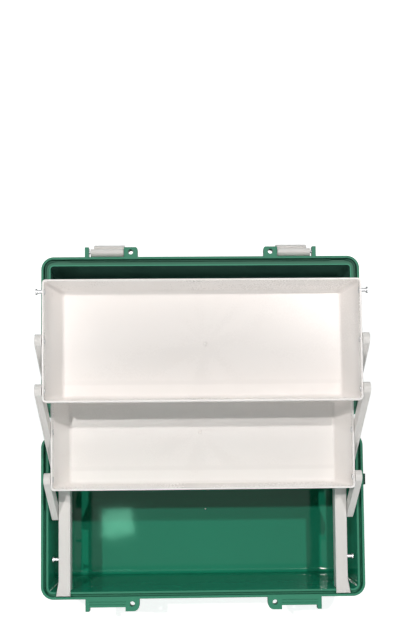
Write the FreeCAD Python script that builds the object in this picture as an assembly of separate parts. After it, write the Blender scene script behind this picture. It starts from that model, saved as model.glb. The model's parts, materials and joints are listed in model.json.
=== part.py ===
"""Cantilever tackle box, stood open: base, lid, two trays on parallel links, handle and latches.

Millimetres, +Z up, +X to the box's right, +Y to its back.  The origin is the centre of the
underside of the base.  The lid is built closed and then swung right over about the hinge,
because the model stands open.  The trays and links are placed in their open position.
"""
import FreeCAD, Part
import math
import os

Vector = FreeCAD.Vector
X_AXIS = Vector(1, 0, 0)
Z_AXIS = Vector(0, 0, 1)
SIDES = {"left": -1, "right": 1}

# ---- shells: driving dimensions ------------------------------------------------------------
rim_length = 380.0          # over the rim bands, along X
rim_depth = 192.0           # over the rim bands, along Y
rim_corner = 15.0           # corner radius of the rim bands
band_height = 10.0          # height of each shell's rim band
rim_lip = 2.9               # flat lip outside the groove
rim_round = 1.0             # rounding of the rim bands' outer edges
groove_width = 3.6
groove_depth = 8.0          # in the base, and beside the tongue in the lid
shell_wall = 2.3
parting_gap = 0.3           # between the two rims when shut
tongue_clearance = 0.3      # between the lid's tongue and the groove's inner side
tongue_width = 1.0
tongue_height = 2.2

base_height = 110.0
base_floor = 2.6
base_draft = 5.0            # how far each side wall leans in at the foot
foot_corner = 13.0          # corner radius at the foot
foot_round = 6.0            # rounding under the base

lid_height = base_height    # laid back, the lid rests level beside the foot
lid_top_wall = 2.6
lid_draft = 1.6
lid_ledge = 2.4             # the lid's inner lip stands in this far past its wall
lid_ledge_height = 3.0
lid_cove = 2.8              # slope that fills the corner above the lid's band
crown_corner = 11.0         # corner radius of the lid's top
crown_round = 4.5           # rounding around the lid's top
crease_from_front = 50.2    # flat top ends here, behind the front of the rim
shoulder_drop = 29.5        # the sloping panel falls this far
shoulder_from_front = 9.5   # and ends this far behind the front of the rim

# ---- lid details ---------------------------------------------------------------------------
recess_width = 117.4
recess_depth = 19.0
recess_from_back = 71.5     # back edge of the recess, ahead of the back of the rim
recess_corner = 4.0
panel_width = 257.0         # shallow panel that holds the scale
panel_depth = 23.0
panel_from_back = 26.5
panel_sink = 0.8
panel_corner = 2.0

# ---- handle --------------------------------------------------------------------------------
handle_side_gap = 1.2       # to each side of the recess
handle_reach = 42.5         # pivot to the front edge of the grip
handle_arm = 13.2
handle_thickness = 13.0
handle_sink = 1.0           # below the lid's top
handle_tail = 6.0           # arm end behind the pivot
horn_reach = 9.6            # horn tip behind the pivot
horn_inset = 5.0            # horn tip inside the arm
horn_thickness = 10.0
grip_depth = 14.2
grip_peak = 5.4             # extra depth at the middle of the grip
handle_corner = 8.5
handle_inner_corner = 6.0
handle_edge = 2.6
handle_pin_radius = 2.5
handle_pivot_from_recess_back = 27.0

# ---- rear hinges ---------------------------------------------------------------------------
hinge_from_end = 77.0       # each hinge's middle, in from the end of the rim
hinge_stand_off = 10.0      # axis behind the back of the rim
knuckle_radius = 5.5
knuckle_length = 14.0
knuckle_gap = 0.3
hinge_pin_radius = 1.5
running_clearance = 0.05

# ---- front brackets and latches ------------------------------------------------------------
eye_ear_start = 75.2        # from the middle of the box to the padlock ear
eye_ear_width = 16.3
eye_radius = 3.0
eye_from_rim = 5.8          # eye's centre ahead of the rim
eye_from_edge = 8.3         # eye's centre from the ear's inner edge
catch_gap = 41.9            # between the padlock ear and the outer ear
outer_ear_width = 4.7
base_ear_reach = 14.2
lid_ear_reach = 11.6
base_ear_round = 7.0
lid_ear_round = 3.0
catch_web_reach = 9.4
web_groove_width = 1.0      # two shallow grooves along the top of each catch web
web_groove_depth = 0.6
lid_ear_height = 9.0
latch_side_gap = 0.6        # to the padlock ear
latch_outer_gap = 2.0       # to the outer ear
latch_pin_radius = 1.5
latch_pin_ahead = 6.0       # ahead of the rim
latch_pin_rise = 4.8        # above the lid's rim
latch_pin_bite = 4.0        # into the padlock ear
latch_barrel = 4.4
latch_wall = 2.6
latch_face_gap = 0.6        # in front of the catch web
latch_plate_step = 2.0      # the plate stops this far short of the barrel's outer end
latch_drop = 26.0           # pin to the lower edge
latch_hook_depth = 3.2
latch_hook_height = 3.4
latch_hook_gap = 1.1
latch_tab_width = 13.0
latch_tab_reach = 5.0
latch_out_turn = 138.0      # the latches lie swung out this far while the lid is back

# ---- trays, links and rails ----------------------------------------------------------------
stud_pitch = 53.0           # between neighbouring studs
stud_margin = 12.5          # end stud to the tray's edge
stud_drop = 4.5             # below the tray's rim
stud_radius = 2.0
stud_head_radius = 3.3
stud_head = 1.4
stud_tail = 0.6             # peened end inside the wall
tray_height = 40.0
tray_wall = 2.0
tray_floor = 2.0
tray_stack_gap = 4.0        # under the upper tray when shut
tray_lift = 1.0             # lower tray above the rails when shut
tray_middle = 3.0           # middle of the trays behind the middle of the box, when shut
tray_collar = 11.0          # upright band at the tray's rim
tray_end_slope = 14.0
tray_side_slope = 4.0
tray_corner = 4.0
tray_bottom_round = 5.0
tray_rim_round = 0.6
link_width = 14.5
link_thickness = 7.3
link_cheek = 1.7            # each side plate of the link's channel
link_web = 2.2              # web that joins the side plates
link_groove = 0.4           # shallow groove along the web's upper face
link_boss = 2.2             # wall of the boss around each pivot
link_play = 0.3             # link to tray end
link_head_play = 0.1        # link to stud head
link_head_clearance = 0.3   # around a stud head in its recess
stud_recess = 0.4           # stud heads below the link's outer face
wall_play = 3.6             # links to the base's inside wall
rail_play = 1.0             # link to rail
rail_width = 13.6
rail_height = 15.5
rail_wall = 2.0
rail_sink = 0.5             # below the base's rim
rail_end_gap = 0.15
rail_tip_gap = 0.9          # between a rail's hooked tip and the outer lip
rail_hook = 1.6             # thickness of the tips that lie over the rim's inner lip
rail_hook_play = 0.1
rail_notch_play = 0.3       # to each side of a tip in its notch
rail_foot_length = 17.0
rail_foot_flare = 3.0
seat_depth = 6.0            # ledges under the rails' ends
seat_height = 4.0
seat_overhang = 1.2         # wider than the rail, each side
link_turn = 88.2            # the links turn this far while the lid swings half a turn
side_lug_width = 13.0
side_lug_reach = 3.2
side_lug_height = 8.0
side_lug_behind_middle = 40.5

# ---- places that follow --------------------------------------------------------------------
half_length = rim_length / 2
half_depth = rim_depth / 2
wall_inset = rim_lip + groove_width
inner_inset = wall_inset + shell_wall
tongue_inner = wall_inset - tongue_clearance
tongue_outer = tongue_inner - tongue_width
hinge_y = half_depth + hinge_stand_off
hinge_z = base_height + parting_gap / 2
lid_rim = base_height + parting_gap
lid_top = lid_rim + lid_height
hinge_spacing = rim_length - 2 * hinge_from_end
band_bottom = base_height - band_height
eye_x = eye_ear_start + eye_from_edge
eye_y = -half_depth - eye_from_rim
latch_pin_y = -half_depth - latch_pin_ahead
latch_pin_z = lid_rim + latch_pin_rise
catch_start = eye_ear_start + eye_ear_width
catch_end = catch_start + catch_gap
outer_ear_end = catch_end + outer_ear_width
recess_back = half_depth - recess_from_back
handle_pivot_y = recess_back - handle_pivot_from_recess_back
handle_pivot_z = lid_top - handle_sink - handle_thickness / 2
handle_half = recess_width / 2 - handle_side_gap
link_outer = half_length - inner_inset - wall_play
link_inner = link_outer - link_thickness
head_outer = link_outer - stud_recess
head_seat = head_outer - stud_head - link_head_play
tray_half_length = link_inner - link_play
tray_half_depth = stud_pitch + stud_margin
tray_rise = tray_height + tray_stack_gap
rail_top = base_height - rail_sink
rail_outer = link_inner - rail_play
rail_inner = rail_outer - rail_width
rail_tip = half_depth - rim_lip - rail_tip_gap
rail_side = rail_outer + rail_foot_flare
rail_stud_z = rail_top + tray_lift + tray_height - stud_drop - tray_rise
rail_stud_y = [tray_middle + step * stud_pitch for step in (-1, 0, 1)]

# the links' lean: from each lower pivot to the pivot above it
link_length = math.hypot(stud_pitch, tray_rise)
open_angle = math.atan2(tray_rise, -stud_pitch) - math.radians(link_turn)
step_back = link_length * math.cos(open_angle)
step_up = link_length * math.sin(open_angle)


# ---- helpers -------------------------------------------------------------------------------
def box(x0, x1, y0, y1, z0, z1):
    """A box between two corners given in any order."""
    low = Vector(min(x0, x1), min(y0, y1), min(z0, z1))
    return Part.makeBox(abs(x1 - x0), abs(y1 - y0), abs(z1 - z0), low)


def rod(x0, x1, y, z, radius):
    """A cylinder along X."""
    return Part.makeCylinder(radius, abs(x1 - x0), Vector(min(x0, x1), y, z), X_AXIS)


def outline(half_x, half_y, radius, z):
    """A rounded rectangle about the Z axis."""
    corners = [(1, 1, 0), (-1, 1, 90), (-1, -1, 180), (1, -1, 270)]
    arcs = []
    for sign_x, sign_y, start in corners:
        middle = Vector(sign_x * (half_x - radius), sign_y * (half_y - radius), z)
        arcs.append(Part.makeCircle(radius, middle, Z_AXIS, start, start + 90))
    edges = []
    for index, arc in enumerate(arcs):
        following = arcs[(index + 1) % len(arcs)]
        edges.append(arc)
        edges.append(Part.makeLine(arc.Vertexes[-1].Point, following.Vertexes[0].Point))
    return Part.Wire(edges)


def between(lower, upper):
    """A solid between two outlines."""
    return Part.makeLoft([lower, upper], True, True)


def rim_outline(inset, z):
    """An outline that follows the rim, inset from its outer edge."""
    return outline(half_length - inset, half_depth - inset, rim_corner - inset, z)


def ring_block(inset, z0, z1):
    """A slab that follows the rim, inset from its outer edge."""
    return between(rim_outline(inset, z0), rim_outline(inset, z1))


def level_edges(shape, z):
    """The edges of a shape that lie at one height."""
    return [e for e in shape.Edges if abs(e.BoundBox.ZMin - z) + abs(e.BoundBox.ZMax - z) < 1e-4]


def upright_edges(shape, x, y, reach=0.01):
    """The upright edges of a shape at one place in plan."""
    found = []
    for edge in shape.Edges:
        box_of = edge.BoundBox
        if box_of.XLength + box_of.YLength < 0.01 and box_of.ZLength > 0.01:
            if abs(box_of.XMin - x) < reach and abs(box_of.YMin - y) < reach:
                found.append(edge)
    return found


def profile(points, x0, x1):
    """A flat outline of (y, z) points, drawn out along X."""
    corners = [Vector(min(x0, x1), y, z) for y, z in points]
    face = Part.Face(Part.makePolygon(corners + corners[:1]))
    return face.extrude(Vector(abs(x1 - x0), 0, 0))


def open_up(shape):
    """Swing a piece of the shut lid right over to where it lies when open."""
    opened = shape.copy()
    opened.rotate(Vector(0, hinge_y, hinge_z), X_AXIS, -180)
    return opened


def save(name, shape):
    shape.exportStep("parts/" + name + ".step")
    print(name, len(shape.Solids), "solid(s)", round(shape.Volume), "mm3", shape.isValid())


# ---- base ----------------------------------------------------------------------------------
def base_block(offset, z0):
    """The tapering body of the base, its walls moved in by an offset."""
    lean = base_draft * (1 - z0 / base_height)
    foot_inset = wall_inset + offset + lean
    foot = (half_length - foot_inset, half_depth - foot_inset, foot_corner - offset)
    top_inset = wall_inset + offset
    top = (half_length - top_inset, half_depth - top_inset, rim_corner - top_inset)
    body = between(outline(*foot, z0), outline(*top, base_height))
    return body.makeFillet(foot_round - offset / 2, level_edges(body, z0))


def inner_wall(half_size, z):
    """How far the inside of the base's wall stands from its middle at a height."""
    return half_size - inner_inset - base_draft * (1 - z / base_height)


def padlock_ear(side, reach, rounding, root, z0, z1):
    """A thick ear with a rounded outer corner, and the upright eye to cut through it."""
    x0 = side * eye_ear_start
    x1 = side * catch_start
    front = -half_depth - reach
    ear = box(x0, x1, front, -half_depth + root, z0, z1)
    ear = ear.makeFillet(rounding, upright_edges(ear, x0, front))
    eye = Part.makeCylinder(eye_radius, z1 - z0 + 2, Vector(side * eye_x, eye_y, z0 - 1))
    return ear, eye


def make_base():
    band = ring_block(0, band_bottom, base_height)
    band = band.makeFillet(rim_round, level_edges(band, base_height))
    body = base_block(0, 0).fuse(band)
    groove = ring_block(rim_lip, base_height - groove_depth, base_height + 1)
    groove = groove.cut(ring_block(wall_inset, base_height - groove_depth - 1, base_height + 2))
    body = body.cut(groove)
    inside = base_block(shell_wall, base_floor)
    body = body.cut(inside)
    additions = []
    cuts = []
    root = rim_lip - 1
    for side in SIDES.values():
        ear, eye = padlock_ear(side, base_ear_reach, base_ear_round, root, band_bottom, base_height)
        additions.append(ear)
        cuts.append(eye)
        additions.append(box(side * catch_end, side * outer_ear_end, -half_depth - base_ear_reach,
                             -half_depth + root, band_bottom, base_height))
        additions.append(box(side * (catch_start - 1), side * (catch_end + 1),
                             -half_depth - catch_web_reach, -half_depth + root,
                             band_bottom, base_height))
        for third in (1, 2):
            middle = -half_depth - catch_web_reach * third / 3
            cuts.append(box(side * catch_start, side * catch_end, middle - web_groove_width / 2,
                            middle + web_groove_width / 2, base_height - web_groove_depth,
                            base_height + 1))
        for end in (-1, 1):
            middle = side * hinge_spacing / 2 + end * (knuckle_length + knuckle_gap)
            additions.append(knuckle(middle, band_bottom + 1, hinge_z - 1.2))
            cuts.append(rod(middle - knuckle_length, middle + knuckle_length, hinge_y, hinge_z,
                            hinge_pin_radius + running_clearance))
            additions.append(rail_seat(side, end))
            cuts.append(rail_notch(side, end))
    lug_top = base_height - band_height / 2
    additions.append(box(half_length - wall_inset - 2, half_length + side_lug_reach,
                         side_lug_behind_middle - side_lug_width / 2,
                         side_lug_behind_middle + side_lug_width / 2,
                         lug_top - side_lug_height, lug_top))
    body = body.fuse(additions).removeSplitter()
    body = body.cut(cuts)
    return body.removeSplitter()


def knuckle(middle, z0, z1):
    """One hinge knuckle with the arm that joins it to the rim band."""
    x0 = middle - knuckle_length / 2
    x1 = middle + knuckle_length / 2
    barrel = rod(x0, x1, hinge_y, hinge_z, knuckle_radius)
    arm = box(x0, x1, half_depth - 1, hinge_y, z0, z1)
    return barrel.fuse(arm)


def rail_seat(side, end):
    """A small ledge on the front or back wall that carries the end of a rail."""
    rail_foot = rail_top - rail_height
    y_wall = inner_wall(half_depth, rail_foot) + 1
    y_lip = y_wall - 1 - seat_depth
    x0 = side * (rail_inner - seat_overhang)
    x1 = side * (rail_outer + seat_overhang)
    points = [(end * y_wall, rail_foot), (end * y_lip, rail_foot),
              (end * (y_lip + seat_depth / 2), rail_foot - seat_height),
              (end * y_wall, rail_foot - seat_height)]
    return profile(points, x0, x1)


def rail_notch(side, end):
    """The notch in the rim's inner lip that the end of a rail lies in."""
    return box(side * (rail_inner - rail_notch_play), side * (rail_side + rail_notch_play),
               end * (half_depth - inner_inset - 2), end * (half_depth - wall_inset + 1),
               rail_top - rail_hook - rail_hook_play, base_height + 1)


# ---- lid, built shut -----------------------------------------------------------------------
def lid_block(offset, top_offset):
    """The lid's body with its sloping front panel, its walls moved in by an offset."""
    rim_inset = wall_inset + offset
    rim = (half_length - rim_inset, half_depth - rim_inset, rim_corner - rim_inset)
    top_inset = rim_inset + lid_draft
    crown = (half_length - top_inset, half_depth - top_inset, crown_corner - offset)
    top = lid_top - top_offset
    body = between(outline(*rim, lid_rim), outline(*crown, top))
    crease_y = -half_depth + crease_from_front
    shoulder_y = -half_depth + shoulder_from_front
    slope = shoulder_drop / (crease_y - shoulder_y)
    drop = top_offset * (math.hypot(1, slope) - 1) if top_offset else 0
    start_y = crease_y + drop / slope
    far_y = -half_depth - 20
    wedge = profile([(start_y, top), (far_y, top - slope * (start_y - far_y)), (far_y, top + 1),
                     (start_y, top + 1)], -half_length, half_length)
    body = body.cut(wedge)
    rounded = []
    for edge in body.Edges:
        low = edge.BoundBox.ZMin
        span = edge.BoundBox.XLength + edge.BoundBox.YLength
        if low > top - shoulder_drop - 12 and span > 0.02:
            rounded.append(edge)
    return body.makeFillet(crown_round - top_offset / 2, rounded)


def tongue_gap(side, end):
    """The break in the lid's tongue that leaves room for the tip of a rail."""
    return box(side * (rail_inner - 2 * rail_notch_play), side * (rail_side + 2 * rail_notch_play),
               end * (half_depth - wall_inset), end * (half_depth - rim_lip),
               lid_rim - tongue_height - 1, lid_rim)


def make_lid():
    band_top = lid_rim + band_height
    cove = between(rim_outline(wall_inset - lid_cove, band_top - 1),
                   rim_outline(wall_inset + lid_draft, band_top + lid_cove + lid_draft + 1))
    outside = lid_block(0, 0).fuse(cove)
    inside = lid_block(shell_wall, lid_top_wall)
    recess = box(-recess_width / 2, recess_width / 2, -half_depth - 20, recess_back,
                 lid_top - recess_depth, lid_top + 20)
    recess = recess.makeFillet(recess_corner, upright_edges(recess, recess_width / 2, recess_back)
                               + upright_edges(recess, -recess_width / 2, recess_back))
    housing = box(-recess_width / 2 - shell_wall, recess_width / 2 + shell_wall, -half_depth - 20,
                  recess_back + shell_wall, lid_top - recess_depth - lid_top_wall, lid_top + 20)
    body = outside.cut(inside).fuse(housing.common(outside))
    band = ring_block(0, lid_rim, band_top)
    band = band.makeFillet(rim_round, level_edges(band, lid_rim) + level_edges(band, band_top))
    band = band.cut(ring_block(wall_inset + 1, lid_rim - 1, band_top + 1))
    tongue = ring_block(tongue_outer, lid_rim - tongue_height, lid_rim + 1)
    tongue = tongue.cut(ring_block(tongue_inner, lid_rim - tongue_height - 1, lid_rim + 2))
    ledge = ring_block(wall_inset + 1, lid_rim, lid_rim + lid_ledge_height)
    ledge = ledge.cut(ring_block(inner_inset + lid_ledge, lid_rim - 1, lid_rim + lid_ledge_height + 1))
    channel = ring_block(rim_lip, lid_rim - 1, lid_rim + groove_depth)
    channel = channel.cut(ring_block(tongue_outer, lid_rim - 2, lid_rim + groove_depth + 1))
    for side in SIDES.values():
        for end in (-1, 1):
            tongue = tongue.cut(tongue_gap(side, end))
    additions = [band, tongue, ledge]
    cuts = [recess, channel]
    root = wall_inset + 1
    panel_back = half_depth - panel_from_back
    panel = box(-panel_width / 2, panel_width / 2, panel_back - panel_depth, panel_back,
                lid_top - panel_sink, lid_top + 5)
    corners = [e for e in panel.Edges if e.BoundBox.ZLength > 1]
    cuts.append(panel.makeFillet(panel_corner, corners))
    for side in SIDES.values():
        ear, eye = padlock_ear(side, lid_ear_reach, lid_ear_round, root, lid_rim,
                               lid_rim + lid_ear_height)
        additions.append(ear)
        cuts.append(eye)
        additions.append(box(side * catch_end, side * outer_ear_end, -half_depth - lid_ear_reach,
                             -half_depth + root, lid_rim, lid_rim + lid_ear_height))
        cuts.append(rod(side * (catch_start - latch_pin_bite - 0.5), side * (outer_ear_end + 1),
                        latch_pin_y, latch_pin_z, latch_pin_radius + running_clearance))
        middle = side * hinge_spacing / 2
        additions.append(knuckle(middle, hinge_z + 1.2, band_top - 1))
        cuts.append(rod(middle - knuckle_length, middle + knuckle_length, hinge_y, hinge_z,
                        hinge_pin_radius + running_clearance))
        cuts.append(rod(side * (recess_width / 2 - 1), side * (recess_width / 2 + shell_wall + 1),
                        handle_pivot_y, handle_pivot_z, handle_pin_radius + running_clearance))
    body = body.fuse(additions).removeSplitter()
    body = body.cut(cuts)
    return body.removeSplitter()


# ---- handle and latches, built shut --------------------------------------------------------
def make_handle():
    z0 = handle_pivot_z - handle_thickness / 2
    front = handle_pivot_y - handle_reach
    tail = handle_pivot_y + handle_tail
    inner = handle_half - handle_arm
    grip_back = front + grip_depth
    blank = box(-handle_half, handle_half, front, tail, z0, z0 + handle_thickness)
    blank = blank.makeFillet(handle_corner, upright_edges(blank, handle_half, front)
                             + upright_edges(blank, -handle_half, front))
    points = [(-inner, tail + 20), (-inner, grip_back), (-grip_depth, grip_back + grip_peak * 0.6),
              (0, grip_back + grip_peak), (grip_depth, grip_back + grip_peak * 0.6), (inner, grip_back),
              (inner, tail + 20)]
    corners = [Vector(x, y, z0 - 1) for x, y in points]
    window = Part.Face(Part.makePolygon(corners + corners[:1])).extrude(Vector(0, 0, handle_thickness + 2))
    window = window.makeFillet(handle_inner_corner, upright_edges(window, inner, grip_back)
                               + upright_edges(window, -inner, grip_back))
    grip = blank.cut(window)
    rim_edges = level_edges(grip, z0) + level_edges(grip, z0 + handle_thickness)
    grip = grip.makeChamfer(handle_edge, rim_edges)
    pieces = []
    for side in SIDES.values():
        pieces.append(handle_horn(side, inner, tail))
        pieces.append(rod(side * (handle_half - 3), side * (recess_width / 2 + shell_wall + 0.3),
                          handle_pivot_y, handle_pivot_z, handle_pin_radius))
    return grip.fuse(pieces).removeSplitter()


def handle_horn(side, inner, tail):
    """The rounded horn that curls inwards from the end of an arm."""
    tip_y = handle_pivot_y + horn_reach
    z0 = handle_pivot_z - horn_thickness / 2
    start = Vector(side * (inner + 7.5), tail - 0.6, z0)
    crest = Vector(side * (inner + 1.0), tip_y - 0.3, z0)
    tip = Vector(side * (inner - horn_inset + 1.2), tip_y - 0.8, z0)
    under = Vector(side * (inner - horn_inset + 1.4), tip_y - 3.6, z0)
    root = Vector(side * inner, tail - 11.0, z0)
    inside = Vector(side * (inner + 4), tail - 11.0, z0)
    edges = [Part.Arc(start, crest, tip).toShape(),
             Part.Arc(tip, Vector(side * (inner - horn_inset), tip_y - 2.2, z0), under).toShape(),
             Part.Arc(under, Vector(side * (inner - 1.0), tip_y - 7.0, z0), root).toShape(),
             Part.makeLine(root, inside),
             Part.makeLine(inside, start)]
    return Part.Face(Part.Wire(edges)).extrude(Vector(0, 0, horn_thickness))


def make_latch(side):
    """A round-backed cap on the pin, and a plate with a hook and a tab that hangs from it."""
    x0 = side * (catch_start + latch_side_gap)
    x1 = side * (catch_end - latch_outer_gap)
    plate_end = x1 - side * latch_plate_step
    y, z = latch_pin_y, latch_pin_z
    face_in = -half_depth - catch_web_reach - latch_face_gap
    face_out = face_in - latch_wall
    bottom = z - latch_drop
    hook_top = band_bottom - latch_hook_gap
    hook_bottom = hook_top - latch_hook_height
    hook_in = face_in + latch_hook_depth
    brow_start = Vector(x0, y, z + latch_barrel)
    brow_middle = Vector(x0, face_out + (y - face_out) / 3, z + latch_barrel * 2 / 3)
    brow_end = Vector(x0, face_out, z)
    brow = Part.Wire([Part.Arc(brow_start, brow_middle, brow_end).toShape(),
                      Part.makeLine(brow_end, Vector(x0, y, z)),
                      Part.makeLine(Vector(x0, y, z), brow_start)])
    cap = Part.Face(brow).extrude(Vector(x1 - x0, 0, 0)).fuse(rod(x0, x1, y, z, latch_barrel))
    skirt = profile([(y, z + 0.5), (face_out, z + 0.5), (face_out, z - latch_barrel),
                     (face_in, z - latch_barrel), (face_in, z - 1.0), (y, z - 1.0)], x0, x1)
    plate = profile([(face_out, z), (face_out, bottom), (face_in, bottom), (face_in, hook_bottom - 1.0),
                     (hook_in, hook_bottom + 1.0), (hook_in, hook_top), (face_in, hook_top),
                     (face_in, z)], x0, plate_end)
    middle = (x0 + plate_end) / 2
    tab_tip = face_out - latch_tab_reach
    tab = profile([(face_in, bottom), (tab_tip, bottom - 1.6), (tab_tip, bottom + 0.8),
                   (face_out, bottom + 3.2), (face_in, bottom + 3.2)],
                  middle - latch_tab_width / 2, middle + latch_tab_width / 2)
    body = cap.fuse([skirt, plate, tab]).removeSplitter()
    bore = rod(x0 - side * 5, x1 + side * 5, y, z, latch_pin_radius + running_clearance)
    return body.cut(bore)


def swing_out(latch):
    """Turn a shut latch out on its pin to where it drops when the lid is laid back."""
    turned = latch.copy()
    turned.rotate(Vector(0, latch_pin_y, latch_pin_z), X_AXIS, -latch_out_turn)
    return turned


# ---- trays ---------------------------------------------------------------------------------
def tray_block(offset, floor):
    """The tray's form about its own middle, its bottom at z = 0, walls moved in by an offset."""
    collar = (tray_half_length - offset, tray_half_depth - offset, tray_corner - offset / 2)
    collar_z = tray_height - tray_collar + floor
    foot = (collar[0] - tray_end_slope, collar[1] - tray_side_slope, tray_corner + 1)
    lower = between(outline(*foot, floor), outline(*collar, collar_z))
    lower = lower.makeFillet(tray_bottom_round - floor / 2, level_edges(lower, floor))
    upper = between(outline(*collar, collar_z), outline(*collar, tray_height))
    return lower.fuse(upper)


def stud_places(front_y, z):
    return [(front_y + step * stud_pitch, z) for step in range(3)]


def make_tray(front_stud_y, stud_z):
    body = tray_block(0, 0).cut(tray_block(tray_wall, tray_floor))
    body = body.removeSplitter()
    body = body.makeFillet(tray_rim_round, level_edges(body, tray_height))
    body.translate(Vector(0, front_stud_y + stud_pitch, stud_z + stud_drop - tray_height))
    holes = []
    for y, z in stud_places(front_stud_y, stud_z):
        holes.append(rod(-tray_half_length - 1, tray_half_length + 1, y, z, stud_radius))
    return body.cut(holes)


def make_studs(side, wall_in, places):
    """Rivets that stand out of a wall, each with a head outside the link."""
    rivets = []
    for y, z in places:
        shank = rod(side * wall_in, side * head_outer, y, z, stud_radius)
        head = rod(side * (head_outer - stud_head), side * head_outer, y, z, stud_head_radius)
        tail = rod(side * (wall_in - stud_tail), side * wall_in, y, z, stud_head_radius)
        rivets.append(shank.fuse([head, tail]).removeSplitter())
    return Part.makeCompound(rivets)


# ---- links and rails -----------------------------------------------------------------------
def bar(start, end, below, above, x0, x1):
    """A square-ended bar from one (y, z) point to another, between two heights beside their line."""
    length = math.hypot(end[0] - start[0], end[1] - start[1])
    block = Part.makeBox(abs(x1 - x0), length, above - below, Vector(min(x0, x1), 0, below))
    tilt = math.degrees(math.atan2(end[1] - start[1], end[0] - start[0]))
    block.rotate(Vector(0, 0, 0), X_AXIS, tilt)
    block.translate(Vector(0, start[0], start[1]))
    return block


def lozenge(start, end, radius, x0, x1):
    """A flat bar with round ends between two (y, z) points."""
    ends = [rod(x0, x1, point[0], point[1], radius) for point in (start, end)]
    return bar(start, end, -radius, radius, x0, x1).fuse(ends).removeSplitter()


def make_link(side, pivots):
    """A link of two side plates under a web, open along its lower edge, with a boss at each pivot."""
    x0 = side * link_inner
    x1 = side * link_outer
    inner = side * (link_inner + link_cheek)
    outer = side * (link_outer - link_cheek)
    radius = link_width / 2
    body = lozenge(pivots[0], pivots[-1], radius, x0, x1)
    channel = lozenge(pivots[0], pivots[-1], radius - link_web, inner, outer)
    mouth = bar(pivots[0], pivots[-1], -radius - 1, 0, inner, outer)
    groove = bar(pivots[0], pivots[-1], radius - link_groove, radius + 1, inner, outer)
    body = body.cut([channel, mouth, groove])
    bosses = [rod(inner, outer, y, z, stud_radius + link_boss) for y, z in pivots]
    holes = [rod(x0 - side, x1 + side, y, z, stud_radius + running_clearance) for y, z in pivots]
    recess_radius = stud_head_radius + link_head_clearance
    recesses = [rod(side * head_seat, x1 + side, y, z, recess_radius) for y, z in pivots]
    return body.fuse(bosses).removeSplitter().cut(holes + recesses)


def make_rail(side):
    """A hollow bar along the side wall whose top runs on over the rim's inner lip at each end."""
    z0 = rail_top - rail_height
    end_y = inner_wall(half_depth, z0) - rail_end_gap
    plan = [(rail_inner, -rail_tip), (rail_side, -rail_tip), (rail_outer, rail_foot_length - rail_tip),
            (rail_outer, rail_tip), (rail_inner, rail_tip)]
    corners = [Vector(side * x, y, z0) for x, y in plan]
    body = Part.Face(Part.makePolygon(corners + corners[:1])).extrude(Vector(0, 0, rail_height))
    for end in (-1, 1):
        under_tip = box(side * (rail_inner - 1), side * (rail_side + 1), end * end_y,
                        end * (rail_tip + 1), z0 - 1, rail_top - rail_hook)
        body = body.cut(under_tip)
    hollow = box(side * (rail_inner + rail_wall), side * (rail_outer - rail_wall), -end_y + rail_wall,
                 end_y - rail_wall, z0 - 1, rail_top - rail_wall)
    body = body.cut(hollow)
    holes = [rod(side * (rail_outer - rail_wall - 1), side * (rail_outer + 1), y, rail_stud_z, stud_radius)
             for y in rail_stud_y]
    return body.cut(holes)


# ---- build ---------------------------------------------------------------------------------
def build():
    os.makedirs("parts", exist_ok=True)
    save("base_tub", make_base())
    save("lid_shell", open_up(make_lid()))
    save("handle", open_up(make_handle()))
    lower_front = (rail_stud_y[1] + step_back, rail_stud_z + step_up)
    upper_front = (rail_stud_y[2] + 2 * step_back, rail_stud_z + 2 * step_up)
    save("tray_lower", make_tray(*lower_front))
    save("tray_upper", make_tray(*upper_front))
    lower_studs = stud_places(*lower_front)
    upper_studs = stud_places(*upper_front)
    rail_studs = [(y, rail_stud_z) for y in rail_stud_y]
    for name, side in SIDES.items():
        save("rail_" + name, make_rail(side))
        save("rail_studs_" + name, make_studs(side, rail_outer - rail_wall, rail_studs))
        save("lower_tray_studs_" + name, make_studs(side, tray_half_length - tray_wall, lower_studs))
        save("upper_tray_studs_" + name, make_studs(side, tray_half_length - tray_wall, upper_studs))
        save("link_front_" + name, make_link(side, [rail_studs[1], lower_studs[0]]))
        save("link_long_" + name, make_link(side, [rail_studs[2], lower_studs[1], upper_studs[0]]))
        save("link_rear_" + name, make_link(side, [lower_studs[2], upper_studs[1]]))
        save("latch_" + name, open_up(swing_out(make_latch(side))))
        pin = rod(side * (catch_start - latch_pin_bite), side * (outer_ear_end + 0.4),
                  latch_pin_y, latch_pin_z, latch_pin_radius)
        save("latch_pin_" + name, open_up(pin))
        middle = side * hinge_spacing / 2
        half_pin = 1.5 * knuckle_length + knuckle_gap + 0.5
        pin = rod(middle - half_pin, middle + half_pin, hinge_y, hinge_z, hinge_pin_radius)
        save("hinge_pin_" + name, pin)


build()
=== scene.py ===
"""Finishes, moulded details and stage of a fishing tackle box with two cantilever trays."""

import json
import math

import bmesh
import bpy
from bpy.props import FloatProperty
from bpy.props import FloatVectorProperty
from bpy.props import IntProperty
from bpy.props import PointerProperty
from mathutils import Matrix
from mathutils import Vector


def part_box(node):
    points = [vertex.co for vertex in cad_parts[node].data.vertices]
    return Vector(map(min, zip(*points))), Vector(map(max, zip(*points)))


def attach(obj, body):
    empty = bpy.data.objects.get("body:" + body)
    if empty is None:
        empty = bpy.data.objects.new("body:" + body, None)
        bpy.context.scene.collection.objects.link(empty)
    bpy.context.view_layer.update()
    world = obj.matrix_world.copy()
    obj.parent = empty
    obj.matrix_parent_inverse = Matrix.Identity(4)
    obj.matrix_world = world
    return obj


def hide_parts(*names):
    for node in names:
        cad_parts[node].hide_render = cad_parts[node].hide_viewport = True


bl_info = {
    "name": "Tackle box",
    "version": (1, 0, 0),
    "blender": (4, 5, 0),
    "location": "3D View > Sidebar > Tackle box",
    "description": "Finishes and moulded details of a tackle box with two cantilever trays",
    "category": "Object",
}

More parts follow.
